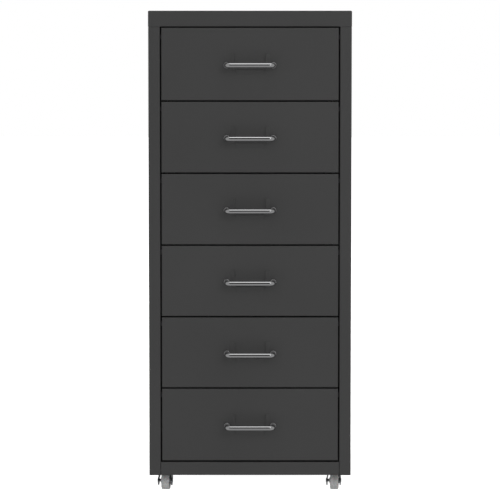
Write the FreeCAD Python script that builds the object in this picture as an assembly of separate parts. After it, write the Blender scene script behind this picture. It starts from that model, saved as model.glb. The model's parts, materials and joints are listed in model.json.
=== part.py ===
import FreeCAD, Part
import math
import os

# A small rolling drawer cabinet in folded sheet steel, in millimetres with +Z up.
# The drawer fronts face -Y. The origin is on the floor, under the middle of the
# whole cabinet with its handles.

Vec = FreeCAD.Vector

# Casing
case_width = 280.0
case_depth = 410.0
case_height = 642.6
case_sheet = 0.9
case_bend = 1.0             # inside radius of the casing's folds
lap_gap = 0.1               # between two casing sheets that lap
side_flange = 16.4          # a side panel's front and rear flange
side_inset = 0.2            # side panel behind the line of the top panel's skirt
front_lip = 26.0            # return behind the front flange, where the runners hook in
rear_lip = 16.0             # return before the rear flange

# Top panel
top_sheet = 0.8
top_skirt = 21.9
top_hem = 9.0               # turned back under the front skirt
top_hem_end_gap = 1.2
top_seam = 0.3              # between the skirt and the side panels' shoulders

# Back panel
back_sheet = 0.8
back_inset = 3.0            # back panel's side edges within the side panels

# Base panel
base_rise = 9.6             # underside of the base above the casing's lower edge
base_sheet = 1.2
base_side_turn = 9.0        # height of the turned-up side and rear edges
base_notch_gap = 1.0        # between the base's side edges and the side panels' lips

# Bottom front rail
rail_height = 18.6
rail_end_gap = 0.2
rail_top_return = 20.0
rail_low_return = 12.0

# Drawer fronts
drawer_count = 6
front_sheet = 0.8
front_bend = 0.8
front_return = 12.0         # depth of the folded edges
front_side_gap = 1.5
top_front_gap = 1.4         # above the top front
low_front_gap = 1.9         # below the bottom front
front_gap = 1.65            # between two fronts
top_front_extra = 2.1       # the top front is this much taller than the middle ones
low_front_extra = 2.8       # and the bottom front this much

# Label lips, pressed out of each front
label_width = 41.6
label_rise = 16.0           # tops of the side lips above the handle
label_drop = 6.5            # edge of the bottom lip below the handle
lip_width = 6.5
lip_turn = 1.4              # edge of that width which is turned back to hold the card
lip_dip = 0.4
lip_lap = 2.0               # of the strip into the front
lip_slit = 0.3              # sheared open along the turned edge
lip_bend = 0.4
lip_corner_gap = 1.5        # between the bottom lip and each side lip
card_gap = 0.6              # room for the card behind a lip

# Drawer trays
tray_sheet = 0.8
tray_bend = 1.6
tray_lift = 6.0             # underside of the tray above its front's lower edge
tray_height = 80.0
tray_rear_gap = 9.0         # between a closed tray and the back panel
tray_hem = 6.0              # turned in along the top of the rear wall
flange_setback = 15.0       # front end of the side flanges behind the front
flange_edge_gap = 1.0       # flange to runner web
ear_height = 2.6            # stop ear at the rear end of each flange
ear_width = 3.0

# Runners
runner_sheet = 1.0
runner_bend = 0.6
runner_setback = 14.0       # front end behind the casing's front
runner_shelf = 7.8          # width that carries the tray's flange, web included
runner_cap = 5.0            # width of the upper lip, web included
runner_slack = 0.3          # shelf to flange
runner_headroom = 3.6       # flange to upper lip
wall_gap = 1.0              # shelf edge to tray wall
stop_drop = 2.4             # out-stop tab below the upper lip
stop_gap = 0.3              # between tray and stop at either end of the travel
rear_stop_height = 3.5
drawer_travel = 300.0
hook_height = 8.0
hook_drop = 3.0
hook_sheet = 1.2
hook_gap = 0.15
runner_tail = 7.0           # web behind the rear stop

# Handles
handle_spacing = 64.0
handle_wire = 7.0
handle_standoff = 24.0      # front face to the wire's centre
handle_drop = 1.5           # below the middle of its front
handle_bend = 8.0           # radius of the wire's centre line
handle_bend_steps = 4       # straight lengths in each bend

# Casters
caster_height = 35.0        # floor to mounting face
caster_side_inset = 22.0    # swivel axis within the casing's side
caster_end_inset = 46.0     # swivel axis within its front and rear
caster_trail = 9.0          # axle ahead of the swivel axis
plate_width = 38.0
plate_length = 32.0
plate_sheet = 1.6
plate_corner = 3.0
cup_radius = 10.5           # raceway pressed under the plate
cup_height = 1.9
swivel_gap = 0.3
crown_radius = 9.8
fork_sheet = 1.5
fork_bend = 0.8
fork_end_radius = 6.9       # rounded ends of the legs round the axle
fork_flare_top = 20.0       # legs spread between these heights
fork_flare_low = 15.6
fork_waist_gap = 0.6        # wheel to the legs' narrow part
fork_front = 9.5            # crown ahead of and behind the swivel axis
fork_rear = 8.5
fork_brow = 4.0             # height of the crown's straight edges
kingpin_radius = 3.0
kingpin_head = 5.0
kingpin_head_height = 1.3
pin_fit = 0.08              # radial running fit
wheel_radius = 12.5
wheel_width = 11.2
wheel_edge = 1.4            # broken edges of the tread
wheel_rim_share = 0.76      # recess's outer radius over the wheel's
wheel_recess = 2.8
hub_width = 14.2
hub_radius = 3.9
hub_float = 2.8             # end play of the hub between the legs
thrust_gap = 0.3            # hub to the leg that it has run up against
axle_radius = 2.0
rivet_head = 3.2
rivet_height = 0.9
fork_end_steps = 7          # flats round the end of a leg
caster_yaw = {"front_left": -5.0, "front_right": -5.0, "rear_left": -7.0, "rear_right": -3.0}

# Flats that stand for a full turn
wire_sides = 16
pin_sides = 12
race_sides = 16
wheel_sides = 24

# One overrun serves all cuts, and anything nearer than tiny is one point.
overrun = 5.0
tiny = 1e-6
flat_share = 2 - math.sqrt(2)   # cut of a square fold's flat over the radius it stands for

# Places that follow from the sizes above
front = (handle_standoff + handle_wire / 2 - case_depth) / 2
rear = front + case_depth
case_bottom = caster_height - base_rise
case_top = case_bottom + case_height
side_outer = case_width / 2 - side_inset
opening_half = case_width / 2 - side_flange
opening_low = case_bottom + rail_height
opening_high = case_top - top_skirt
back_outer = rear - top_sheet - lap_gap
back_inner = back_outer - back_sheet
panel_top = case_top - top_sheet - case_bend
front_half = opening_half - front_side_gap
front_height = (
    opening_high - opening_low - top_front_gap - low_front_gap
    - (drawer_count - 1) * front_gap - top_front_extra - low_front_extra
) / drawer_count
drawer_pitch = front_height + front_gap
shelf_edge = opening_half - runner_shelf
tray_half = shelf_edge - wall_gap
flange_outer = opening_half - runner_sheet - flange_edge_gap
tray_front = front + front_sheet
tray_rear = back_inner - tray_rear_gap
stop_place = tray_rear - drawer_travel - tray_sheet - stop_gap - runner_sheet


def place(plane, u, v, level):
    """A drawing point on the xy, xz or yz plane at a level along the third axis."""
    if plane == "xy":
        return Vec(u, v, level)
    if plane == "xz":
        return Vec(u, level, v)
    return Vec(level, u, v)


def left_of(start, end):
    """Unit vector to the left of the way from start to end."""
    way = (end - start).normalize()
    return Vec(-way.y, way.x, 0)


def fold_corner(before, corner, after, radius, as_arc):
    """The arc that rounds a corner, or the flat that touches this arc at its middle."""
    into = (corner - before).normalize()
    away = (after - corner).normalize()
    half_turn = into.getAngle(away) / 2
    inward = (away - into).normalize()
    middle = corner + inward * (radius / math.cos(half_turn) - radius)
    if as_arc:
        reach = radius * math.tan(half_turn)
        return corner - into * reach, middle, corner + away * reach
    reach = (middle - corner).Length / math.sin(half_turn)
    return corner - into * reach, corner + away * reach


def chain(points, radii, arcs):
    """Lines through the points, with an arc or a flat at each inner one."""
    strokes = []
    here = points[0]
    for number, radius in enumerate(radii, 1):
        neighbours = points[number - 1:number + 2]
        turn = fold_corner(*neighbours, radius, arcs[number - 1])
        if (turn[0] - here).Length > tiny:
            strokes.append((here, turn[0]))
        strokes.append(turn)
        here = turn[-1]
    strokes.append((here, points[-1]))
    return strokes


def straight(points):
    """A closed outline of straight lines."""
    return list(zip(points, points[1:] + points[:1]))


def shifted(points, distance):
    """A bent line moved to its left."""
    moved = []
    for number, point in enumerate(points):
        normals = []
        if number > 0:
            normals.append(left_of(points[number - 1], point))
        if number < len(points) - 1:
            normals.append(left_of(point, points[number + 1]))
        middle = sum(normals[1:], normals[0])
        moved.append(point + middle * (distance * len(normals) / middle.dot(middle)))
    return moved


def folded(points, sheet, inside, round_outside=True):
    """Outline of a folded sheet, whose faces are the line of points and its left side.

    The outside of a fold is round, or a flat as its inside is, to save facets where it is hidden.
    """
    far_points = shifted(points, sheet)
    near_radii = []
    far_radii = []
    for number in range(1, len(points) - 1):
        turn = (points[number] - points[number - 1]).cross(points[number + 1] - points[number]).z
        near_radii.append(inside + sheet if turn > 0 else inside)
        far_radii.append(inside if turn > 0 else inside + sheet)
    near_arcs = [round_outside and radius > inside for radius in near_radii]
    far_arcs = [round_outside and radius > inside for radius in far_radii]
    near = chain(points, near_radii, near_arcs)
    far = chain(far_points[::-1], far_radii[::-1], far_arcs[::-1])
    return near + [(points[-1], far_points[-1])] + far + [(far_points[0], points[0])]


def drawn(strokes, plane, level):
    """The face inside an outline."""
    edges = []
    for stroke in strokes:
        points = [place(plane, point.x, point.y, level) for point in stroke]
        if len(points) == 2:
            edges.append(Part.LineSegment(*points).toShape())
        else:
            edges.append(Part.Arc(*points).toShape())
    return Part.Face(Part.Wire(edges))


def extruded(strokes, plane, low, high):
    return drawn(strokes, plane, low).extrude(place(plane, 0, 0, high - low))


def block(low, high):
    size = high - low
    return Part.makeBox(size.x, size.y, size.z, low)


def cylinder(radius, start, reach):
    return Part.makeCylinder(radius, reach.Length, start, reach)


def polygon(radius, sides, level):
    """A regular polygon about the Z axis, whose flats lie on the radius."""
    corner = radius / math.cos(math.pi / sides)
    points = []
    for number in range(sides + 1):
        angle = math.pi * (2 * number + 1) / sides
        points.append(Vec(corner * math.cos(angle), corner * math.sin(angle), level))
    return Part.makePolygon(points)


def prism(radius, sides, start, reach):
    """A turned form drawn with flats, to keep its facets few."""
    solid = Part.Face(polygon(radius, sides, 0)).extrude(Vec(0, 0, reach.Length))
    solid.Placement = FreeCAD.Placement(start, FreeCAD.Rotation(Vec(0, 0, 1), reach))
    return solid


def mirrored(shape):
    return shape.mirror(Vec(0, 0, 0), Vec(1, 0, 0))


def joined(shapes):
    """Several touching or lapping shapes as one solid with clean faces."""
    return shapes[0].fuse(shapes[1:]).removeSplitter()


def eased(solid, edges, radius, as_arc):
    """A box with some edges rounded, or cut flat where the arc's middle would be."""
    if as_arc:
        return solid.makeFillet(radius, edges)
    return solid.makeChamfer(radius * flat_share, edges)


def folded_block(low, high, open_side, radius, as_arc):
    """A box whose four edges opposite its open side are eased."""
    solid = block(low, high)
    near = min(low.dot(open_side), high.dot(open_side))
    edges = [edge for edge in solid.Edges if edge.CenterOfMass.dot(open_side) < near + tiny]
    return eased(solid, edges, radius, as_arc)


def upright_block(low, high, radius, as_arc):
    """A box whose four upright edges are eased."""
    solid = block(low, high)
    middle = (low.z + high.z) / 2
    edges = [edge for edge in solid.Edges if abs(edge.CenterOfMass.z - middle) < tiny]
    return eased(solid, edges, radius, as_arc)


def pan(low, high, open_side, sheet, inside, round_outside=True, uprights_too=False):
    """A folded pan, open on one side, between its outer corners. Its folds are mitred."""
    wall = Vec(sheet, sheet, sheet)
    past = open_side * (sheet + overrun)
    inner_low = low + wall
    inner_high = high - wall
    if open_side.x + open_side.y + open_side.z > 0:
        inner_high = inner_high + past
    else:
        inner_low = inner_low + past
    outer = folded_block(low, high, open_side, inside + sheet, round_outside)
    inner = folded_block(inner_low, inner_high, open_side, inside, False)
    if uprights_too:
        outer = outer.common(upright_block(low, high, inside + sheet, round_outside))
        inner = inner.common(upright_block(inner_low, inner_high, inside, False))
    return outer.cut(inner)


def front_low(row):
    """Lower edge of a drawer front, by its row from the bottom, but for the extra."""
    return opening_low + low_front_gap + low_front_extra + row * drawer_pitch


def front_span(row):
    """Lower and upper edge of a drawer front."""
    low = front_low(row)
    high = low + front_height
    if row == 0:
        low -= low_front_extra
    if row == drawer_count - 1:
        high += top_front_extra
    return low, high


def handle_level(row):
    low, high = front_span(row)
    return (low + high) / 2 - handle_drop


def shelf_level(row):
    """Upper face of a runner's shelf."""
    return front_low(row) + tray_lift + tray_height - tray_sheet - runner_slack


def hook_places():
    """Where a runner hooks into the side panel, along the casing's depth."""
    return [
        (front + runner_setback + front + front_lip) / 2,
        back_inner - rear_lip * 0.6,
    ]


def caster_centre(corner):
    """Where a caster's swivel axis meets the floor."""
    across = case_width / 2 - caster_side_inset
    along = rear - caster_end_inset
    if corner.startswith("front"):
        along = front + caster_end_inset
    if corner.endswith("left"):
        across = -across
    return Vec(across, along, 0)


# The top panel is a shallow pressed cap. Its front skirt is turned back below.
def top_panel():
    cap = pan(
        Vec(-case_width / 2, front, opening_high),
        Vec(case_width / 2, rear, case_top),
        Vec(0, 0, -1),
        top_sheet,
        case_bend,
        uprights_too=True,
    )
    hem_half = opening_half - top_hem_end_gap
    bend_reach = case_bend + top_sheet
    relief = block(
        Vec(-hem_half, front - overrun, opening_high - overrun),
        Vec(hem_half, front + bend_reach, opening_high + bend_reach),
    )
    hem = extruded(
        folded(
            [
                Vec(front + top_hem, opening_high),
                Vec(front, opening_high),
                Vec(front, opening_high + 2 * bend_reach),
            ][::-1],
            top_sheet,
            case_bend,
        ),
        "yz",
        -hem_half,
        hem_half,
    )
    return joined([cap.cut(relief), hem])


# A side panel is a C in plan with a return lip at each end. Above the drawers its
# wall is set in by one sheet, so that the top panel's skirt is flush outside it.
def right_side_panel():
    line = [
        Vec(opening_half, front + front_lip),
        Vec(opening_half, front),
        Vec(side_outer, front),
        Vec(side_outer, back_inner),
        Vec(opening_half, back_inner),
        Vec(opening_half, back_inner - rear_lip),
    ]
    shoulder = opening_high - top_seam
    folds = case_sheet + case_bend
    inset = side_outer - top_sheet - lap_gap
    lower = extruded(folded(line, case_sheet, case_bend), "xy", case_bottom, shoulder)
    ledge = block(
        Vec(inset - case_sheet, front + folds, shoulder - case_sheet),
        Vec(side_outer, back_inner - folds, shoulder),
    )
    upper = block(
        Vec(inset - case_sheet, front + folds, shoulder - case_sheet),
        Vec(inset, back_inner - folds, panel_top),
    )
    solid = joined([lower, ledge, upper])
    cuts = []
    for row in range(drawer_count):
        level = shelf_level(row)
        for along in hook_places():
            cuts.append(
                block(
                    Vec(opening_half - overrun, along - hook_sheet / 2 - hook_gap, level - hook_gap),
                    Vec(
                        opening_half + case_sheet + case_bend,
                        along + hook_sheet / 2 + hook_gap,
                        level + hook_height + hook_drop + hook_gap,
                    ),
                )
            )
    return solid.cut(cuts)


def back_panel():
    half = side_outer - back_inset
    return block(Vec(-half, back_inner, case_bottom), Vec(half, back_outer, panel_top))


# The base is a plate with turned-up edges, notched round the side panels' lips.
def base_panel():
    low = caster_height
    side = side_outer - case_sheet - lap_gap
    middle = opening_half - rail_end_gap
    side_front = front + front_lip + base_notch_gap
    side_rear = back_inner - rear_lip - base_notch_gap
    front_turn = opening_low - case_sheet - case_bend - lap_gap
    across = folded(
        [
            Vec(-side, low + base_side_turn),
            Vec(-side, low),
            Vec(side, low),
            Vec(side, low + base_side_turn),
        ],
        base_sheet,
        case_bend,
        round_outside=False,
    )
    along = folded(
        [
            Vec(front + case_sheet, front_turn),
            Vec(front + case_sheet, low),
            Vec(back_inner, low),
            Vec(back_inner, low + base_side_turn),
        ],
        base_sheet,
        case_bend,
        round_outside=False,
    )
    return joined(
        [
            extruded(across, "xz", side_front, side_rear),
            extruded(along, "yz", -middle, middle),
        ]
    )


def bottom_front_rail():
    half = opening_half - rail_end_gap
    line = [
        Vec(front + rail_top_return, opening_low),
        Vec(front, opening_low),
        Vec(front, case_bottom),
        Vec(front + rail_low_return, case_bottom),
    ]
    return extruded(folded(line, case_sheet, case_bend), "yz", -half, half)


# A runner is a channel with its web on the side panel's lips. The tray's flange
# rides on its lower shelf. A tab under the upper lip stops the tray's ear when
# the drawer is out, and the turned-up rear end stops the flange when it is shut.
def right_runner(row):
    shelf = shelf_level(row)
    cap_under = shelf + runner_slack + tray_sheet + runner_headroom
    web_inner = opening_half - runner_sheet
    stop_front = tray_rear + stop_gap
    line = [
        Vec(shelf_edge, shelf - runner_sheet),
        Vec(opening_half, shelf - runner_sheet),
        Vec(opening_half, cap_under + runner_sheet),
        Vec(opening_half - runner_cap, cap_under + runner_sheet),
    ]
    stop_rear = stop_front + runner_sheet
    channel = extruded(
        folded(line, runner_sheet, runner_bend, round_outside=False),
        "xz",
        front + runner_setback,
        stop_rear,
    )
    web = block(
        Vec(web_inner, stop_rear, shelf),
        Vec(opening_half, stop_rear + runner_tail, cap_under),
    )
    out_stop = block(
        Vec(opening_half - runner_cap, stop_place, cap_under - stop_drop),
        Vec(web_inner - runner_bend, stop_place + runner_sheet, cap_under),
    )
    shut_stop = block(
        Vec(shelf_edge, stop_front, shelf),
        Vec(web_inner - runner_bend, stop_rear, shelf + rear_stop_height),
    )
    solids = [channel, web, out_stop, shut_stop]
    for along in hook_places():
        behind = opening_half + case_sheet + hook_gap
        hook = straight(
            [
                Vec(opening_half, shelf + hook_height),
                Vec(opening_half, shelf),
                Vec(behind, shelf),
                Vec(behind, shelf - hook_drop),
                Vec(behind + hook_drop, shelf - hook_drop),
                Vec(behind + hook_drop, shelf + hook_height - hook_drop),
                Vec(behind, shelf + hook_height),
            ]
        )
        solids.append(extruded(hook, "xz", along - hook_sheet / 2, along + hook_sheet / 2))
    return joined(solids)


# One lip that holds the label card: a strip sheared on three sides and pressed
# forward, with its free edge turned back. It is drawn for the right-hand side and
# turned about the label's middle.
def label_lip(half, root_low, root_high, turn, middle):
    proud = front_sheet + card_gap
    root = half + lip_width
    line = [
        Vec(root + lip_lap, front),
        Vec(root, front),
        Vec(half + lip_turn, front - proud),
        Vec(half, front - proud + lip_dip),
    ]
    strip = extruded(
        folded(line[::-1], front_sheet, lip_bend, round_outside=False), "xy", root_low, root_high
    )
    window = block(
        Vec(half - lip_slit, front - overrun, root_low),
        Vec(root, front + front_sheet + card_gap, root_high),
    )
    for shape in (strip, window):
        shape.rotate(Vec(0, 0, 0), Vec(0, 1, 0), turn)
        shape.translate(Vec(0, 0, middle))
    return strip, window


def drawer_front(row):
    low, high = front_span(row)
    level = handle_level(row)
    solid = pan(
        Vec(-front_half, front, low),
        Vec(front_half, front + front_return, high),
        Vec(0, 1, 0),
        front_sheet,
        front_bend,
    )
    side_half = label_width / 2
    lips = [
        label_lip(side_half, -label_drop, label_rise, 0, level),
        label_lip(side_half, -label_rise, label_drop, 180, level),
        label_lip(label_drop, -side_half + lip_corner_gap, side_half - lip_corner_gap, 90, level),
    ]
    solid = solid.cut([window for strip, window in lips])
    return joined([solid] + [strip for strip, window in lips])


# A tray is a pan with a flange turned out along each side, which hangs in the
# runners. The rear end of each flange has a stop ear turned up.
def drawer_tray(row):
    low = front_low(row) + tray_lift
    high = low + tray_height
    rim = high - tray_sheet - tray_bend
    flange_front = front + flange_setback
    shell = pan(
        Vec(-tray_half, tray_front, low),
        Vec(tray_half, tray_rear, rim),
        Vec(0, 0, 1),
        tray_sheet,
        tray_bend,
        round_outside=False,
    )
    line = [
        Vec(flange_outer, high),
        Vec(tray_half - tray_sheet, high),
        Vec(tray_half - tray_sheet, rim - tray_sheet),
    ]
    flange = extruded(
        folded(line, tray_sheet, tray_bend, round_outside=False), "xz", flange_front, tray_rear
    )
    ear = block(
        Vec(flange_outer - ear_width, tray_rear - tray_sheet, high),
        Vec(flange_outer, tray_rear, high + ear_height),
    )
    hem_half = tray_half - tray_sheet - tray_bend
    hem = extruded(
        folded(
            [
                Vec(tray_rear, rim - 2 * tray_bend),
                Vec(tray_rear, high),
                Vec(tray_rear - tray_hem, high),
            ],
            tray_sheet,
            tray_bend,
            round_outside=False,
        ),
        "yz",
        -hem_half,
        hem_half,
    )
    return joined([shell, flange, mirrored(flange), ear, mirrored(ear), hem])


# A handle is one bent wire, drawn in straight lengths with flats to keep its facets few.
def handle(row):
    level = handle_level(row)
    half = handle_spacing / 2
    bar = front - handle_standoff
    path = [Vec(-half, front, level)]
    for side in (-1, 1):
        centre = Vec(side * (half - handle_bend), bar + handle_bend, level)
        bend = []
        for step in range(handle_bend_steps + 1):
            angle = math.pi / 2 * step / handle_bend_steps
            bend.append(centre + Vec(side * math.cos(angle), -math.sin(angle), 0) * handle_bend)
        path += bend[::-side]
    path.append(Vec(half, front, level))
    ring = polygon(handle_wire / 2, wire_sides, 0)
    ring.Placement = FreeCAD.Placement(path[0], FreeCAD.Rotation(Vec(0, 0, 1), Vec(0, 1, 0)))
    return Part.makePolygon(path).makePipeShell([ring], True, False, 1)


# A caster is drawn with its swivel axis on the Z axis and its axle along X.
axle_level = wheel_radius
crown_top = caster_height - plate_sheet - cup_height - swivel_gap
leg_inner = (hub_width + hub_float) / 2
wheel_shift = hub_float / 2 - thrust_gap


def caster_plate():
    under = caster_height - plate_sheet
    half = Vec(plate_width / 2, plate_length / 2, plate_sheet / 2)
    middle = Vec(0, 0, under + plate_sheet / 2)
    plate = upright_block(middle - half, middle + half, plate_corner, False)
    cup = prism(cup_radius, race_sides, Vec(0, 0, under - cup_height), Vec(0, 0, cup_height))
    bore_low = Vec(0, 0, under - overrun)
    bore = prism(kingpin_radius + pin_fit, pin_sides, bore_low, Vec(0, 0, 3 * overrun))
    return joined([plate, cup]).cut(bore)


def caster_kingpin():
    head_top = crown_top - fork_sheet - swivel_gap
    pin = cylinder(kingpin_radius, Vec(0, 0, head_top), Vec(0, 0, caster_height - head_top))
    head = prism(
        kingpin_head,
        pin_sides,
        Vec(0, 0, head_top - kingpin_head_height),
        Vec(0, 0, kingpin_head_height),
    )
    return joined([pin, head])


# The fork is one pressed strip: a round crown, and legs that spread past the
# hub and end in rounded ears. The strip is folded across and trimmed in side view.
def caster_fork():
    wide = leg_inner + fork_sheet
    waist = wheel_width / 2 + wheel_shift + fork_waist_gap + fork_sheet
    leg_end = axle_level - fork_end_radius
    right = [
        Vec(wide, leg_end - overrun),
        Vec(wide, fork_flare_low),
        Vec(waist, fork_flare_top),
        Vec(waist, crown_top),
    ]
    left = [Vec(-point.x, point.y) for point in right[::-1]]
    reach = caster_trail + fork_end_radius + overrun
    strip = extruded(
        folded(right + left, fork_sheet, fork_bend, round_outside=False), "xz", -reach, reach
    )
    brow = crown_top - fork_brow
    axle = Vec(-caster_trail, axle_level)
    rear_way = Vec(fork_rear, brow) - axle
    front_way = Vec(-fork_front, brow) - axle
    rear_touch = math.atan2(rear_way.y, rear_way.x) - math.acos(fork_end_radius / rear_way.Length)
    front_touch = math.atan2(front_way.y, front_way.x) + math.acos(fork_end_radius / front_way.Length)
    turn = 2 * math.pi + rear_touch - front_touch
    profile = [
        Vec(fork_rear, brow),
        Vec(fork_rear, crown_top),
        Vec(-fork_front, crown_top),
        Vec(-fork_front, brow),
    ]
    for step in range(fork_end_steps + 1):
        angle = front_touch + turn * step / fork_end_steps
        profile.append(axle + Vec(math.cos(angle), math.sin(angle)) * fork_end_radius)
    trimmed = strip.common(extruded(straight(profile), "yz", -wide, wide))
    crown_low = Vec(0, 0, crown_top - fork_sheet)
    crown = prism(crown_radius, race_sides, crown_low, Vec(0, 0, fork_sheet))
    solid = joined([trimmed, crown])
    bore_low = Vec(0, 0, crown_top - overrun)
    bore = prism(kingpin_radius + pin_fit, pin_sides, bore_low, Vec(0, 0, 2 * overrun))
    axle_hole = prism(
        axle_radius + pin_fit,
        pin_sides,
        Vec(-wide - overrun, -caster_trail, axle_level),
        Vec(2 * (wide + overrun), 0, 0),
    )
    return solid.cut([bore, axle_hole])


def caster_axle():
    wide = leg_inner + fork_sheet
    start = Vec(-wide - rivet_height, -caster_trail, axle_level)
    pin = cylinder(axle_radius, start, Vec(2 * (wide + rivet_height), 0, 0))
    heads = []
    for side in (-1, 1):
        seat = Vec(side * wide, -caster_trail, axle_level)
        heads.append(prism(rivet_head, pin_sides, seat, Vec(side * rivet_height, 0, 0)))
    return joined([pin] + heads)


# The wheel is moulded in one piece: a tread with broken edges, a recess on each
# side and a hub that stands out past the tread.
def caster_wheel():
    half = wheel_width / 2
    web = half - wheel_recess
    tread = prism(wheel_radius, wheel_sides, Vec(0, 0, -half), Vec(0, 0, wheel_width))
    edges = [edge for edge in tread.Edges if abs(edge.CenterOfMass.z) > half - tiny]
    tread = tread.makeChamfer(wheel_edge, edges)
    recesses = []
    for side in (-1, 1):
        floor = Vec(0, 0, side * web)
        recesses.append(prism(wheel_radius * wheel_rim_share, wheel_sides, floor, Vec(0, 0, side * overrun)))
    hub = prism(hub_radius, pin_sides, Vec(0, 0, -hub_width / 2), Vec(0, 0, hub_width))
    bore = prism(axle_radius + pin_fit, pin_sides, Vec(0, 0, -hub_width), Vec(0, 0, 2 * hub_width))
    solid = tread.cut(recesses).fuse(hub).removeSplitter().cut(bore)
    solid.rotate(Vec(0, 0, 0), Vec(0, 1, 0), 90)
    solid.translate(Vec(wheel_shift, -caster_trail, axle_level))
    return solid


def on_caster(shape, corner, turned):
    """A caster piece set under its corner, and turned with the fork if asked."""
    shape = shape.copy()
    if turned:
        shape.rotate(Vec(0, 0, 0), Vec(0, 0, 1), caster_yaw[corner])
    shape.translate(caster_centre(corner))
    return shape


def all_pieces():
    pieces = {
        "top_panel": top_panel(),
        "right_side_panel": right_side_panel(),
        "back_panel": back_panel(),
        "base_panel": base_panel(),
        "bottom_front_rail": bottom_front_rail(),
    }
    pieces["left_side_panel"] = mirrored(pieces["right_side_panel"])
    for number in range(1, drawer_count + 1):
        row = drawer_count - number
        runner = right_runner(row)
        pieces["runner_pair_%d" % number] = Part.makeCompound([runner, mirrored(runner)])
        pieces["drawer_front_%d" % number] = drawer_front(row)
        pieces["drawer_tray_%d" % number] = drawer_tray(row)
        pieces["handle_%d" % number] = handle(row)
    plate = caster_plate()
    fork = caster_fork()
    axle = caster_axle()
    wheel = caster_wheel()
    kingpin = caster_kingpin()
    plates = []
    kingpins = []
    for corner in caster_yaw:
        plates.append(on_caster(plate, corner, False))
        kingpins.append(on_caster(kingpin, corner, False))
        pieces["caster_fork_" + corner] = on_caster(fork, corner, True)
        pieces["caster_axle_" + corner] = on_caster(axle, corner, True)
        pieces["caster_wheel_" + corner] = on_caster(wheel, corner, True)
    pieces["caster_plates"] = Part.makeCompound(plates)
    pieces["caster_kingpins"] = Part.makeCompound(kingpins)
    return pieces


os.makedirs("parts", exist_ok=True)
for node, shape in all_pieces().items():
    shape.exportStep("parts/" + node + ".step")
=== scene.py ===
import json
import math
import bmesh
import bpy
from mathutils import Matrix, Vector


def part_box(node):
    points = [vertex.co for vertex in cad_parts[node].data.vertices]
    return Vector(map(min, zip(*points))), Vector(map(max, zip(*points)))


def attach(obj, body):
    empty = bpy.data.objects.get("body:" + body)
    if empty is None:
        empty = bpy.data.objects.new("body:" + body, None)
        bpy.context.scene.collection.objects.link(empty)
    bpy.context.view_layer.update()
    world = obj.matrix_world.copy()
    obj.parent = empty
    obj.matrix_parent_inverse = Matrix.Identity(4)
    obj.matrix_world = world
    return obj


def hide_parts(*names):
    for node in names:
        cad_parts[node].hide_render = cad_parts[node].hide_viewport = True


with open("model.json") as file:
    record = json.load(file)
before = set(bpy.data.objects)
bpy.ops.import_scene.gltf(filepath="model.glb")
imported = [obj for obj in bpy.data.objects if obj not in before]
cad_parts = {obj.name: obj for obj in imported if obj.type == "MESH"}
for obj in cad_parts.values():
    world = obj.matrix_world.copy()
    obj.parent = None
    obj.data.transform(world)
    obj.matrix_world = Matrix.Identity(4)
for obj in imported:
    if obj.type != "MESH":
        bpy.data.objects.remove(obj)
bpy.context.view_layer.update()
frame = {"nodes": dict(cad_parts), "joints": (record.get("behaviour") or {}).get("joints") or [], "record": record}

scene = bpy.context.scene
print("frame loaded:", len(frame["nodes"]), "nodes")


# sRGB hex, as read off a colour chip, to the linear values that Blender works in
def linear(hexColour):
    channels = [int(hexColour[i:i + 2], 16) / 255 for i in (1, 3, 5)]
    return [c / 12.92 if c <= 0.04045 else ((c + 0.055) / 1.055) ** 2.4 for c in channels] + [1.0]


def addNode(tree, kind, settings, links=None):
    node = tree.nodes.new(kind)
    for key, value in settings.items():
        if isinstance(key, int) or key in node.inputs:
            node.inputs[key].default_value = value
        else:
            setattr(node, key, value)
    for socket, source in (links or {}).items():
        tree.links.new(source, node.inputs[socket])
    return node


def newMaterial(name):
    material = bpy.data.materials.new(name)
    material.use_nodes = True
    tree = material.node_tree
    tree.nodes.clear()
    coords = addNode(tree, "ShaderNodeTexCoord", {})
    return material, tree, coords.outputs["Object"]


def finishMaterial(tree, shader):
    addNode(tree, "ShaderNodeOutputMaterial", {}, {"Surface": shader.outputs["BSDF"]})


# Patterns are sized in millimetres: a noise of scale 1 repeats about once a metre
def perMetre(millimetres):
    return 1000 / millimetres


# The two ends of a roughness that swings about its middle value
def roughnessRange(values):
    return {
        "To Min": values["roughness"] - values["roughnessSwing"],
        "To Max": values["roughness"] + values["roughnessSwing"],
    }


# Charcoal polyester powder coat on folded steel. Sprayed dry and baked, it flows
# out to a semi-matt film with a faint orange peel and no brush or grain direction.
powderCoat = {
    "colour": "#3e3e3e",
    "thinColour": "#3a3a3a",
    "cloudMm": 160,       # slow change in film thickness over a panel
    "peelMm": 1.6,        # real peel is about 0.6 mm, drawn coarser so that it shows
    "peelDepthMm": 0.012,
    "speckMm": 0.9,       # mottle of the pigment, really under 0.1 mm and drawn coarser too
    "speckShare": 0.3,    # how much the mottle adds to the clouds
    "speckBase": 0.35,
    "thinAt": 0.1,
    "fullAt": 0.45,
    "roughness": 0.52,
    "roughnessSwing": 0.07,
    "ior": 1.5,
}


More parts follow.
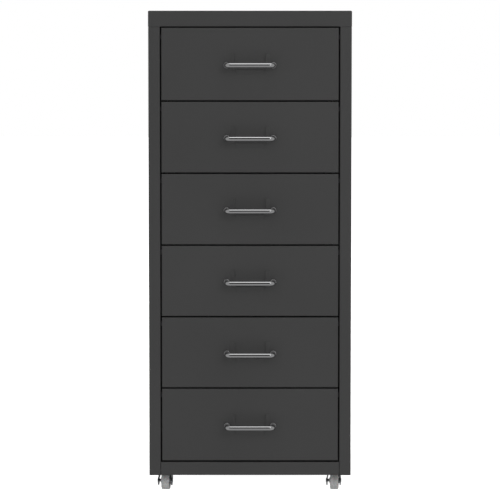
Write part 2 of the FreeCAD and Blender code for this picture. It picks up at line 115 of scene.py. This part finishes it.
def powderCoatMaterial(name, values):
    material, tree, coords = newMaterial(name)
    cloud = addNode(
        tree, "ShaderNodeTexNoise",
        {"Scale": perMetre(values["cloudMm"]), "Detail": 3.0}, {"Vector": coords},
    )
    speck = addNode(
        tree, "ShaderNodeTexNoise",
        {"Scale": perMetre(values["speckMm"]), "Detail": 2.0}, {"Vector": coords},
    )
    peel = addNode(
        tree, "ShaderNodeTexNoise",
        {"Scale": perMetre(values["peelMm"]), "Detail": 1.0}, {"Vector": coords},
    )
    blend = addNode(
        tree, "ShaderNodeMath",
        {"operation": "MULTIPLY_ADD", 1: values["speckShare"], 2: values["speckBase"]},
        {0: speck.outputs["Fac"]},
    )
    share = addNode(
        tree, "ShaderNodeMath", {"operation": "MULTIPLY", "use_clamp": True},
        {0: cloud.outputs["Fac"], 1: blend.outputs[0]},
    )
    ramp = addNode(tree, "ShaderNodeValToRGB", {}, {"Fac": share.outputs[0]})
    stops = ((values["thinAt"], values["thinColour"]), (values["fullAt"], values["colour"]))
    for element, (position, hexColour) in zip(ramp.color_ramp.elements, stops):
        element.position = position
        element.color = linear(hexColour)
    gloss = addNode(tree, "ShaderNodeMapRange", roughnessRange(values), {"Value": cloud.outputs["Fac"]})
    bump = addNode(
        tree, "ShaderNodeBump", {"Strength": 1.0, "Distance": values["peelDepthMm"] / 1000},
        {"Height": peel.outputs["Fac"]},
    )
    shader = addNode(
        tree, "ShaderNodeBsdfPrincipled", {"IOR": values["ior"]},
        {
            "Base Color": ramp.outputs["Color"],
            "Roughness": gloss.outputs["Result"],
            "Normal": bump.outputs["Normal"],
        },
    )
    finishMaterial(tree, shader)
    return material


# Bright chrome plate on bent steel wire. The bar is buffed to a mirror with a faint
# waviness. The legs stay satin, because the buffing wheel hardly reaches them.
chromePlate = {
    "colour": "#c6c6c7",
    "roughness": 0.07,
    "roughnessSwing": 0.02,
    "legRoughness": 0.5,
    "legStart": 0.007,    # metres behind the handle's foremost point
    "legEnd": 0.013,
    "rippleMm": 5.0,
    "rippleDepthMm": 0.01,
}


def chromeMaterial(name, values):
    material, tree, coords = newMaterial(name)
    ripple = addNode(
        tree, "ShaderNodeTexNoise",
        {"Scale": perMetre(values["rippleMm"]), "Detail": 1.0}, {"Vector": coords},
    )
    haze = addNode(tree, "ShaderNodeMapRange", roughnessRange(values), {"Value": ripple.outputs["Fac"]})
    bump = addNode(
        tree, "ShaderNodeBump", {"Strength": 1.0, "Distance": values["rippleDepthMm"] / 1000},
        {"Height": ripple.outputs["Fac"]},
    )
    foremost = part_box("handle_1")[0].y
    place = addNode(tree, "ShaderNodeSeparateXYZ", {}, {"Vector": coords})
    dull = addNode(
        tree, "ShaderNodeMapRange",
        {
            "From Min": foremost + values["legStart"],
            "From Max": foremost + values["legEnd"],
            "To Max": values["legRoughness"],
        },
        {"Value": place.outputs["Y"]},
    )
    roughness = addNode(
        tree, "ShaderNodeMath", {"operation": "MAXIMUM"},
        {0: haze.outputs["Result"], 1: dull.outputs["Result"]},
    )
    shader = addNode(
        tree, "ShaderNodeBsdfPrincipled", {"Base Color": linear(values["colour"]), "Metallic": 1.0},
        {"Roughness": roughness.outputs[0], "Normal": bump.outputs["Normal"]},
    )
    finishMaterial(tree, shader)
    return material


# Zinc on steel. Bright electroplate on the caster pressings and screws is satin
# and slightly blotchy. Hot-dip strip for the runners shows a crystal spangle.
zincPlate = {
    "colour": "#a9acaf",
    "stain": "#85878a",
    "patchMm": 6.0,
    "stainAt": 0.3,
    "cleanAt": 0.7,
    "roughness": 0.3,
    "roughnessSwing": 0.1,
}
zincScrew = dict(
    zincPlate, colour="#9fa2a6", stain="#7a7c80", patchMm=1.5, roughness=0.28, roughnessSwing=0.08
)
spangledStrip = dict(
    zincPlate, colour="#a4a8ab", stain="#8b8f92", patchMm=9.0, roughness=0.38, roughnessSwing=0.12
)


def zincMaterial(name, values, spangled=False):
    material, tree, coords = newMaterial(name)
    scale = perMetre(values["patchMm"])
    if spangled:
        patch = addNode(tree, "ShaderNodeTexVoronoi", {"Scale": scale}, {"Vector": coords})
        shade = addNode(tree, "ShaderNodeSeparateColor", {}, {"Color": patch.outputs["Color"]})
        source = shade.outputs["Red"]
    else:
        patch = addNode(tree, "ShaderNodeTexNoise", {"Scale": scale, "Detail": 3.0}, {"Vector": coords})
        source = patch.outputs["Fac"]
    ramp = addNode(tree, "ShaderNodeValToRGB", {}, {"Fac": source})
    stops = ((values["stainAt"], values["stain"]), (values["cleanAt"], values["colour"]))
    for element, (position, hexColour) in zip(ramp.color_ramp.elements, stops):
        element.position = position
        element.color = linear(hexColour)
    haze = addNode(tree, "ShaderNodeMapRange", roughnessRange(values), {"Value": source})
    shader = addNode(
        tree, "ShaderNodeBsdfPrincipled", {"Metallic": 1.0},
        {"Base Color": ramp.outputs["Color"], "Roughness": haze.outputs["Result"]},
    )
    finishMaterial(tree, shader)
    return material


# Natural grey polypropylene, injection moulded: waxy, a little translucent, with
# scuffs on the tread from rolling.
greyPolypropylene = {
    "colour": "#bcbdbd",
    "scuff": "#a8a8a7",
    "scuffMm": 2.5,
    "scuffAt": 0.38,
    "cleanAt": 0.6,
    "scuffDepthMm": 0.05,
    "scuffStrength": 0.4,
    "roughness": 0.48,
    "ior": 1.49,
    "glow": 0.12,         # light that passes under the skin
    "glowMm": 1.5,
}


def polypropyleneMaterial(name, values):
    material, tree, coords = newMaterial(name)
    scuff = addNode(
        tree, "ShaderNodeTexNoise",
        {"Scale": perMetre(values["scuffMm"]), "Detail": 4.0}, {"Vector": coords},
    )
    ramp = addNode(tree, "ShaderNodeValToRGB", {}, {"Fac": scuff.outputs["Fac"]})
    stops = ((values["scuffAt"], values["scuff"]), (values["cleanAt"], values["colour"]))
    for element, (position, hexColour) in zip(ramp.color_ramp.elements, stops):
        element.position = position
        element.color = linear(hexColour)
    bump = addNode(
        tree, "ShaderNodeBump",
        {"Strength": values["scuffStrength"], "Distance": values["scuffDepthMm"] / 1000},
        {"Height": scuff.outputs["Fac"]},
    )
    shader = addNode(
        tree, "ShaderNodeBsdfPrincipled",
        {
            "Roughness": values["roughness"],
            "IOR": values["ior"],
            "Subsurface Weight": values["glow"],
            "Subsurface Scale": values["glowMm"] / 1000,
        },
        {"Base Color": ramp.outputs["Color"], "Normal": bump.outputs["Normal"]},
    )
    finishMaterial(tree, shader)
    return material


# The trays' coat is thinner, so a little darker and smoother
trayCoat = dict(powderCoat, colour="#3d3d3d", roughness=0.46)
finishes = {
    "powder_coat": powderCoatMaterial("charcoalPowderCoat", powderCoat),
    "tray_coat": powderCoatMaterial("charcoalPowderCoatInside", trayCoat),
    "chrome_wire": chromeMaterial("brightChromePlate", chromePlate),
    "galvanised_channel": zincMaterial("hotDipZincStrip", spangledStrip, spangled=True),
    "zinc_plate": zincMaterial("brightZincPlate", zincPlate),
    "grey_wheel": polypropyleneMaterial("greyPolypropylene", greyPolypropylene),
}
screwFinish = zincMaterial("zincPlatedScrew", zincScrew)
slotOf = {entry["node"]: entry["material_slot"] for entry in frame["record"]["subparts"]}
for node, piece in frame["nodes"].items():
    for place in range(len(piece.data.materials)):
        piece.data.materials[place] = finishes[slotOf[node]]
print("materials assigned:", len(finishes))


bodyOf = {node: body for body, nodes in frame["record"]["behaviour"]["bodies"].items() for node in nodes}


# A finished mesh becomes a piece that stands for one CAD node
def standFor(node, mesh, name):
    mesh.materials.append(finishes[slotOf[node]])
    piece = bpy.data.objects.new(name, mesh)
    scene.collection.objects.link(piece)
    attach(piece, bodyOf[node])
    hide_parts(node)


def smoothMesh(shell, name, sharpDegrees):
    mesh = bpy.data.meshes.new(name)
    bmesh.ops.recalc_face_normals(shell, faces=shell.faces)
    for face in shell.faces:
        face.smooth = True
    for edge in shell.edges:
        if len(edge.link_faces) == 2 and edge.calc_face_angle(0) > math.radians(sharpDegrees):
            edge.smooth = False
    shell.to_mesh(mesh)
    shell.free()
    return mesh


# Handles: a wire swept along its bent line, with full round rings. Each leg ends in
# a low foot that seats on the drawer front.
handleLook = {
    "bendRadius": 0.0055,    # of the wire's middle line
    "footRadius": 0.0041,
    "footHeight": 0.0016,
    "footEdge": 0.0004,
    "footEase": 0.3,         # middle point of the foot's rounded edge, over footEdge
    "ringPoints": 40,
    "bendSteps": 14,
    "sharpDegrees": 35,
}


def handleMesh(low, high, values, name):
    radius = (high.z - low.z) / 2
    level = (high.z + low.z) / 2
    half = (high.x - low.x) / 2 - radius
    bar = low.y + radius
    bend = values["bendRadius"]
    foot = values["footRadius"]
    edge = values["footEdge"]
    ease = edge * values["footEase"]
    height = values["footHeight"]
    outward = Vector((0, -1, 0))
    footLine = (
        (0, foot),
        (height - edge, foot),
        (height - ease, foot - ease),
        (height, foot - edge),
        (height, radius),
    )
    line = [(Vector((-half, high.y - rise, level)), outward, size) for rise, size in footLine]
    for step in range(values["bendSteps"] + 1):
        turn = math.radians(90) * step / values["bendSteps"]
        centre = Vector((-half + bend, bar + bend, level))
        point = centre + Vector((-math.cos(turn), -math.sin(turn), 0)) * bend
        line.append((point, Vector((math.sin(turn), -math.cos(turn), 0)), radius))
    line += [
        (Vector((-point.x, point.y, point.z)), Vector((way.x, -way.y, 0)), size)
        for point, way, size in reversed(line)
    ]
    shell = bmesh.new()
    rings = []
    for point, way, size in line:
        side = way.cross(Vector((0, 0, 1)))
        ring = []
        for number in range(values["ringPoints"]):
            angle = 2 * math.pi * number / values["ringPoints"]
            across = side * (size * math.cos(angle))
            lift = Vector((0, 0, size * math.sin(angle)))
            ring.append(shell.verts.new(point + across + lift))
        rings.append(ring)
    for ring, following in zip(rings, rings[1:]):
        for number in range(values["ringPoints"]):
            after = (number + 1) % values["ringPoints"]
            shell.faces.new((ring[number], ring[after], following[after], following[number]))
    shell.faces.new(rings[0])
    shell.faces.new(rings[-1][::-1])
    return smoothMesh(shell, name, values["sharpDegrees"])


drawerCount = len([node for node in frame["nodes"] if node.startswith("drawer_front_")])
for number in range(1, drawerCount + 1):
    node = "handle_%d" % number
    low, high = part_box(node)
    standFor(node, handleMesh(low, high, handleLook, node + "_wire"), node + "_wire")
print("handles made:", drawerCount)


# A closed body of revolution about +Z, from (radius, height) points between its poles
def turnedShell(profile, segments):
    shell = bmesh.new()
    poles = [shell.verts.new((0, 0, profile[0][1])), shell.verts.new((0, 0, profile[-1][1]))]
    rings = []
    for radius, height in profile[1:-1]:
        ring = []
        for number in range(segments):
            angle = 2 * math.pi * number / segments
            ring.append(shell.verts.new((radius * math.cos(angle), radius * math.sin(angle), height)))
        rings.append(ring)
    for number in range(segments):
        after = (number + 1) % segments
        shell.faces.new((poles[0], rings[0][after], rings[0][number]))
        shell.faces.new((poles[1], rings[-1][number], rings[-1][after]))
        for ring, following in zip(rings, rings[1:]):
            shell.faces.new((ring[number], ring[after], following[after], following[number]))
    return shell


def arcPoints(centre, radius, startDegrees, endDegrees, steps):
    points = []
    for step in range(steps + 1):
        angle = math.radians(startDegrees + (endDegrees - startDegrees) * step / steps)
        points.append((centre[0] + radius * math.cos(angle), centre[1] + radius * math.sin(angle)))
    return points


# The difference or union of two closed meshes, as a new mesh
def combined(mesh, cutter, operation):
    base = bpy.data.objects.new("base", mesh)
    tool = bpy.data.objects.new("tool", cutter)
    for thing in (base, tool):
        scene.collection.objects.link(thing)
    modifier = base.modifiers.new("combine", "BOOLEAN")
    modifier.operation = operation
    modifier.solver = "EXACT"
    modifier.object = tool
    bpy.context.view_layer.update()
    evaluated = base.evaluated_get(bpy.context.evaluated_depsgraph_get())
    result = bpy.data.meshes.new_from_object(evaluated)
    for thing in (base, tool):
        bpy.data.objects.remove(thing)
    return result


# The boxes of the loose solids inside one CAD node
def looseBoxes(node, weldDistance=1e-6):
    shell = bmesh.new()
    shell.from_mesh(frame["nodes"][node].data)
    bmesh.ops.remove_doubles(shell, verts=shell.verts, dist=weldDistance)
    boxes = []
    seen = set()
    for first in shell.verts:
        if first.index in seen:
            continue
        seen.add(first.index)
        group = [first]
        for vert in group:
            for edge in vert.link_edges:
                other = edge.other_vert(vert)
                if other.index not in seen:
                    seen.add(other.index)
                    group.append(other)
        low = Vector([min(vert.co[axis] for vert in group) for axis in range(3)])
        high = Vector([max(vert.co[axis] for vert in group) for axis in range(3)])
        boxes.append((low, high))
    shell.free()
    return boxes


# Screws with a cross recess, left to this script as small fasteners. Metres.
screwLook = {
    "domeShare": 0.42,       # height of the rounded part over the head's height
    "crownShare": 0.62,      # radius where the top flattens, over the head's
    "domeSteps": 6,
    "tipShare": 0.5,         # radius at the end of the shank, over the shank's
    "slotLengthShare": 0.62,
    "slotWidthShare": 0.17,  # half width over the head's radius
    "slotDepthShare": 0.75,  # over the head's height
    "slotFloor": 0.45,       # half lengths at the slot's bottom and where the cut
    "slotMouth": 1.25,       # starts, over its length
    "slotReach": 1.5,        # where the cut starts, over the head's height
    "segments": 28,
    "turnDegrees": 37,       # from one screw to the next
    "sharpDegrees": 35,
}
screwSizes = {
    "back": {"headRadius": 0.0034, "headHeight": 0.00085, "shankRadius": 0.0016, "length": 0.006},
    "caster": {"headRadius": 0.0032, "headHeight": 0.0016, "shankRadius": 0.0019, "length": 0.0055},
    "handle": {"headRadius": 0.004, "headHeight": 0.0024, "shankRadius": 0.002, "length": 0.013},
}
screwPlaces = {
    "handleLegs": 0.064,     # between a handle's two legs
    "traySheet": 0.0008,
    "casterPattern": (0.028, 0.022),
    "plateSheet": 0.0016,
    "backEdgeInset": 0.0066,
    "backRows": 4,
    "backLowInset": 0.0219,
    "backHighInset": 0.042,  # clear of the top panel's skirt
}


def screwMesh(size, values):
    headRadius = size["headRadius"]
    head = size["headHeight"]
    crown = headRadius * values["crownShare"]
    shoulder = -head * (1 - values["domeShare"])
    profile = [(0, -head), (crown, -head)]
    for step in range(1, values["domeSteps"]):
        angle = math.radians(90) * step / values["domeSteps"]
        profile.append((
            crown + (headRadius - crown) * math.sin(angle),
            shoulder - head * values["domeShare"] * math.cos(angle),
        ))
    shank = size["shankRadius"]
    tip = shank * values["tipShare"]
    profile += [(headRadius, shoulder), (headRadius, 0), (shank, 0)]
    profile += [(shank, size["length"] - tip), (tip, size["length"]), (0, size["length"])]
    body = bpy.data.meshes.new("screwBody")
    shell = turnedShell(profile, values["segments"])
    bmesh.ops.recalc_face_normals(shell, faces=shell.faces)
    shell.to_mesh(body)
    shell.free()
    length = headRadius * values["slotLengthShare"]
    width = headRadius * values["slotWidthShare"]
    deep = -head * (1 - values["slotDepthShare"])
    outside = -head * values["slotReach"]
    for across, along in ((1, 0), (0, 1)):
        slot = bmesh.new()
        corners = []
        for level, share in ((deep, values["slotFloor"]), (outside, values["slotMouth"])):
            for sx, sy in ((-1, -1), (1, -1), (1, 1), (-1, 1)):
                halfX = length * share if across else width
                halfY = length * share if along else width
                corners.append(slot.verts.new((sx * halfX, sy * halfY, level)))
        bmesh.ops.convex_hull(slot, input=corners)
        cutter = bpy.data.meshes.new("slot")
        slot.to_mesh(cutter)
        slot.free()
        body = combined(body, cutter, "DIFFERENCE")
    return body


screwUnits = {kind: screwMesh(size, screwLook) for kind, size in screwSizes.items()}


# Screws of one kind driven in at their seats, each turned a little differently
def driveScrews(kind, body, seats, way, name):
    stand = Vector(way).to_track_quat("Z", "Y").to_matrix().to_4x4()
    for number, seat in enumerate(seats, 1):
        shell = bmesh.new()
        shell.from_mesh(screwUnits[kind])
        turn = Matrix.Rotation(math.radians(screwLook["turnDegrees"] * number), 4, "Z")
        shell.transform(Matrix.Translation(seat) @ stand @ turn)
        mesh = smoothMesh(shell, "%s_%d" % (name, number), screwLook["sharpDegrees"])
        mesh.materials.append(screwFinish)
        piece = bpy.data.objects.new("%s_%d" % (name, number), mesh)
        scene.collection.objects.link(piece)
        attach(piece, body)


for number in range(1, drawerCount + 1):
    low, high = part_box("handle_%d" % number)
    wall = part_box("drawer_tray_%d" % number)[0].y + screwPlaces["traySheet"]
    reach = screwPlaces["handleLegs"] / 2
    seats = [Vector((side * reach, wall, (low.z + high.z) / 2)) for side in (-1, 1)]
    driveScrews("handle", bodyOf["handle_%d" % number], seats, (0, -1, 0), "handle_screw_%d" % number)

seats = []
for low, high in looseBoxes("caster_plates"):
    across, along = screwPlaces["casterPattern"]
    middle = (low + high) / 2
    under = high.z - screwPlaces["plateSheet"]
    for x in (-1, 1):
        for y in (-1, 1):
            seats.append(Vector((middle.x + x * across / 2, middle.y + y * along / 2, under)))
driveScrews("caster", bodyOf["caster_plates"], seats, (0, 0, 1), "caster_screw")

low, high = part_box("back_panel")
lowest = low.z + screwPlaces["backLowInset"]
step = (high.z - screwPlaces["backHighInset"] - lowest) / (screwPlaces["backRows"] - 1)
column = high.x - screwPlaces["backEdgeInset"]
seats = []
for side in (-1, 1):
    for row in range(screwPlaces["backRows"]):
        seats.append(Vector((side * column, high.y, lowest + row * step)))
driveScrews("back", bodyOf["back_panel"], seats, (0, -1, 0), "back_screw")
print("screws driven")


# Caster wheels: a moulded tread with a parting line, ribbed recesses and a hub
wheelLook = {
    "treadWidth": 0.0112,
    "treadEdge": 0.0014,
    "partingDepth": 0.00012,
    "partingWidth": 0.0006,
    "rimShare": 0.76,
    "recess": 0.0028,
    "hubWidth": 0.0142,
    "hubRadius": 0.0039,
    "boreRadius": 0.00208,
    "hubEdge": 0.0004,
    "ribs": 6,
    "ribWidth": 0.0011,
    "ribSetIn": 0.0006,
    "segments": 72,
    "edgeSteps": 3,
    "treadSteps": 7,
    "sharpDegrees": 30,
}


def wheelMesh(radius, values):
    half = values["treadWidth"] / 2
    web = half - values["recess"]
    rim = radius * values["rimShare"]
    hub = values["hubRadius"]
    boss = values["hubWidth"] / 2
    edge = values["hubEdge"]
    steps = values["edgeSteps"]
    treadEdge = values["treadEdge"]
    right = [(values["boreRadius"], boss)]
    right += arcPoints((hub - edge, boss - edge), edge, 90, 0, steps)
    right += arcPoints((hub + edge, web + edge), edge, 180, 270, steps)
    right += arcPoints((rim - edge, web + edge), edge, 270, 360, steps)
    right += arcPoints((rim + edge, half - edge), edge, 180, 90, steps)
    right += arcPoints((radius - treadEdge, half - treadEdge), treadEdge, 90, 0, values["treadSteps"])
    right += [(radius, values["partingWidth"] / 2), (radius - values["partingDepth"], 0)]
    left = [(r, -z) for r, z in reversed(right[:-1])]
    loop = right + left
    shell = bmesh.new()
    rings = []
    for number in range(values["segments"]):
        angle = 2 * math.pi * number / values["segments"]
        rings.append([shell.verts.new((r * math.cos(angle), r * math.sin(angle), z)) for r, z in loop])
    for number, ring in enumerate(rings):
        following = rings[(number + 1) % len(rings)]
        for step in range(len(loop)):
            after = (step + 1) % len(loop)
            shell.faces.new((ring[step], ring[after], following[after], following[step]))
    bmesh.ops.recalc_face_normals(shell, faces=shell.faces)
    mesh = bpy.data.meshes.new("wheelBody")
    shell.to_mesh(mesh)
    shell.free()
    ribs = bmesh.new()
    top = half - values["ribSetIn"]
    for number in range(values["ribs"]):
        angle = 2 * math.pi * (number + 0.5) / values["ribs"]
        turn = Matrix.Rotation(angle, 4, "Z")
        corners = []
        for along in (hub - edge, rim + edge):
            for across in (-values["ribWidth"] / 2, values["ribWidth"] / 2):
                for level in (-top, top):
                    corners.append(ribs.verts.new(turn @ Vector((along, across, level))))
        bmesh.ops.convex_hull(ribs, input=corners)
    spokes = bpy.data.meshes.new("spokes")
    ribs.to_mesh(spokes)
    ribs.free()
    return combined(mesh, spokes, "UNION")


# Axle rivets: a plain pin with a domed head at each end
axleLook = {
    "pinRadius": 0.002,
    "headHeight": 0.0009,
    "rimShare": 0.3,         # height of the head's upright rim, over headHeight
    "crownShare": 0.35,      # radius where the top flattens, over the head's
    "domeSteps": 6,
    "segments": 32,
    "sharpDegrees": 40,
}


def axleMesh(length, headRadius, values):
    half = length / 2
    seat = half - values["headHeight"]
    rim = values["rimShare"]
    crown = values["crownShare"]
    head = [(headRadius, seat), (headRadius, seat + values["headHeight"] * rim)]
    for step in range(1, values["domeSteps"] + 1):
        angle = math.radians(90) * step / values["domeSteps"]
        head.append((
            headRadius * (crown + (1 - crown) * math.cos(angle)),
            seat + values["headHeight"] * (rim + (1 - rim) * math.sin(angle)),
        ))
    upper = [(values["pinRadius"], seat)] + head + [(0, half)]
    lower = [(r, -z) for r, z in reversed(upper)]
    return turnedShell(lower + upper, values["segments"])


wheelUnit = None
for joint in frame["joints"]:
    if not joint["name"].endswith("_roll"):
        continue
    corner = joint["name"][len("caster_"):-len("_roll")]
    way = Vector(joint["axis"])
    stand = way.to_track_quat("Z", "Y").to_matrix().to_4x4()
    wheelNode = "caster_wheel_" + corner
    low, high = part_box(wheelNode)
    if wheelUnit is None:
        wheelUnit = wheelMesh((high.z - low.z) / 2, wheelLook)
    shell = bmesh.new()
    shell.from_mesh(wheelUnit)
    shell.transform(Matrix.Translation((low + high) / 2) @ stand)
    mesh = smoothMesh(shell, wheelNode + "_moulded", wheelLook["sharpDegrees"])
    standFor(wheelNode, mesh, wheelNode + "_moulded")
    axleNode = "caster_axle_" + corner
    low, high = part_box(axleNode)
    headRadius = (high.z - low.z) / 2
    length = ((high.x - low.x) - 2 * headRadius * abs(way.y)) / abs(way.x)
    shell = axleMesh(length, headRadius, axleLook)
    shell.transform(Matrix.Translation((low + high) / 2) @ stand)
    mesh = smoothMesh(shell, axleNode + "_rivet", axleLook["sharpDegrees"])
    standFor(axleNode, mesh, axleNode + "_rivet")
print("caster wheels and axles made")


# Camera: a long lens, level with the top drawer and tilted down to the middle
cameraLook = {
    "distance": 3.7,       # in front of the drawers
    "height": 0.615,
    "aimHeight": 0.339,
    "aimSide": 0.0,
    "frameWidth": 0.6899,  # metres across the picture, where it aims
    "sensorMm": 36,
    "clipEnd": 60,
}
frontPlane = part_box("bottom_front_rail")[0].y
camera = bpy.data.objects.new("camera", bpy.data.cameras.new("camera"))
scene.collection.objects.link(camera)
camera.location = (cameraLook["aimSide"], frontPlane - cameraLook["distance"], cameraLook["height"])
aim = Vector((cameraLook["aimSide"], frontPlane, cameraLook["aimHeight"]))
camera.rotation_euler = (aim - camera.location).to_track_quat("-Z", "Y").to_euler()
camera.data.sensor_width = cameraLook["sensorMm"]
camera.data.lens = cameraLook["sensorMm"] * (aim - camera.location).length / cameraLook["frameWidth"]
camera.data.clip_end = cameraLook["clipEnd"]
scene.camera = camera

# Soft studio light: a small key from the upper right, a very wide front light that
# leaves hardly a shadow, and lights for the sides and the back. Those that don't
# shine give their light without showing in the chrome, which mirrors the room.
lamps = {
    "keyLight": {
        "place": (1.0, -3.0, 1.4), "aim": (0, frontPlane, 0.4),
        "size": (0.8, 0.8), "watts": 6, "shines": True,
    },
    "topLight": {
        "place": (0.2, -1.2, 3.0), "aim": (0, frontPlane, 0.45),
        "size": (1.8, 0.9), "watts": 4, "shines": True,
    },
    "frontLight": {
        "place": (0.3, -4.6, 0.35), "aim": (0, frontPlane, 0.35),
        "size": (9.0, 8.0), "watts": 176, "shines": False,
    },
    "leftLight": {
        "place": (-3.0, 0.4, 1.0), "aim": (0, 0, 0.35),
        "size": (1.6, 1.8), "watts": 34, "shines": False,
    },
    "rightLight": {
        "place": (3.0, 0.4, 1.0), "aim": (0, 0, 0.35),
        "size": (1.6, 1.8), "watts": 30, "shines": False,
    },
    "rearLight": {
        "place": (-1.0, 2.8, 2.2), "aim": (0, 0, 0.35),
        "size": (1.6, 1.4), "watts": 80, "shines": False,
    },
}
for name, values in lamps.items():
    lamp = bpy.data.lights.new(name, "AREA")
    lamp.shape = "RECTANGLE"
    lamp.size, lamp.size_y = values["size"]
    lamp.energy = values["watts"]
    holder = bpy.data.objects.new(name, lamp)
    scene.collection.objects.link(holder)
    holder.visible_glossy = values["shines"]
    holder.location = values["place"]
    holder.rotation_euler = (Vector(values["aim"]) - holder.location).to_track_quat("-Z", "Y").to_euler()

# Plain pale floor that glows, so that shadows on it stay faint. Only the camera sees
# it, and it blocks no light: the front light reaches the cabinet from below too, as
# if off white paper.
floorLook = {"size": 30, "colour": "#e6e6e6", "roughness": 0.9, "glow": 0.97}
floorMesh = bpy.data.meshes.new("floor")
reach = floorLook["size"] / 2
corners = [(-reach, -reach, 0), (reach, -reach, 0), (reach, reach, 0), (-reach, reach, 0)]
floorMesh.from_pydata(corners, [], [(0, 1, 2, 3)])
floor = bpy.data.objects.new("floor", floorMesh)
scene.collection.objects.link(floor)
floorMaterial, floorTree = newMaterial("paleFloor")[:2]
floorShader = addNode(
    floorTree, "ShaderNodeBsdfPrincipled",
    {
        "Base Color": linear(floorLook["colour"]),
        "Roughness": floorLook["roughness"],
        "Emission Color": (1, 1, 1, 1),
        "Emission Strength": floorLook["glow"],
    },
)
finishMaterial(floorTree, floorShader)
floorMesh.materials.append(floorMaterial)
floor.visible_diffuse = False
floor.visible_glossy = False
floor.visible_shadow = False

# White backdrop for the camera. The cabinet is lit by a room instead, and mirrors it:
# mid grey below the horizon, then a dark stretch of wall, then a pale ceiling. The
# side walls are mid grey all the way up, and behind the cabinet it is a little dimmer.
roomLook = {
    "backdrop": 1.0,
    # level of grey against height, as the sine of the angle above the horizon
    "bands": [(-1.0, 0.36), (-0.08, 0.36), (-0.02, 0.0), (0.66, 0.0), (0.72, 0.8), (1.0, 0.8)],
    "sideStart": 0.3,
    "sideEnd": 0.55,
    "sideLevel": 0.4,
    "rearStart": 0.0,
    "rearEnd": 0.5,
    "rearShare": 0.8,
}
world = bpy.data.worlds.new("studio")
scene.world = world
world.use_nodes = True
roomTree = world.node_tree
roomTree.nodes.clear()
direction = addNode(roomTree, "ShaderNodeTexCoord", {})
axes = addNode(roomTree, "ShaderNodeSeparateXYZ", {}, {"Vector": direction.outputs["Generated"]})
height = addNode(
    roomTree, "ShaderNodeMapRange", {"From Min": -1.0, "From Max": 1.0}, {"Value": axes.outputs["Z"]}
)
bands = addNode(roomTree, "ShaderNodeValToRGB", {}, {"Fac": height.outputs["Result"]})
while len(bands.color_ramp.elements) < len(roomLook["bands"]):
    bands.color_ramp.elements.new(1.0)
for element, (sine, level) in zip(bands.color_ramp.elements, roomLook["bands"]):
    element.position = (sine + 1) / 2
    element.color = (level, level, level, 1)
sideways = addNode(roomTree, "ShaderNodeMath", {"operation": "ABSOLUTE"}, {0: axes.outputs["X"]})
side = addNode(
    roomTree, "ShaderNodeMapRange", {"From Min": roomLook["sideStart"], "From Max": roomLook["sideEnd"]},
    {"Value": sideways.outputs[0]},
)
# Sockets 6 and 7 are the two colours that a Mix node takes
walls = addNode(
    roomTree, "ShaderNodeMix",
    {"data_type": "RGBA", "blend_type": "MIX", 7: [roomLook["sideLevel"]] * 3 + [1]},
    {0: side.outputs["Result"], 6: bands.outputs["Color"]},
)
rear = addNode(
    roomTree, "ShaderNodeMapRange",
    {
        "From Min": roomLook["rearStart"],
        "From Max": roomLook["rearEnd"],
        "To Min": 1.0,
        "To Max": roomLook["rearShare"],
    },
    {"Value": axes.outputs["Y"]},
)
room = addNode(
    roomTree, "ShaderNodeBackground", {}, {"Color": walls.outputs[2], "Strength": rear.outputs["Result"]}
)
backdrop = addNode(
    roomTree, "ShaderNodeBackground", {"Color": (1, 1, 1, 1), "Strength": roomLook["backdrop"]}
)
rayKind = addNode(roomTree, "ShaderNodeLightPath", {})
mixed = addNode(
    roomTree, "ShaderNodeMixShader", {},
    {0: rayKind.outputs["Is Camera Ray"], 1: room.outputs[0], 2: backdrop.outputs[0]},
)
addNode(roomTree, "ShaderNodeOutputWorld", {}, {"Surface": mixed.outputs[0]})
scene.view_settings.view_transform = "Standard"
print("camera, lights and floor set")
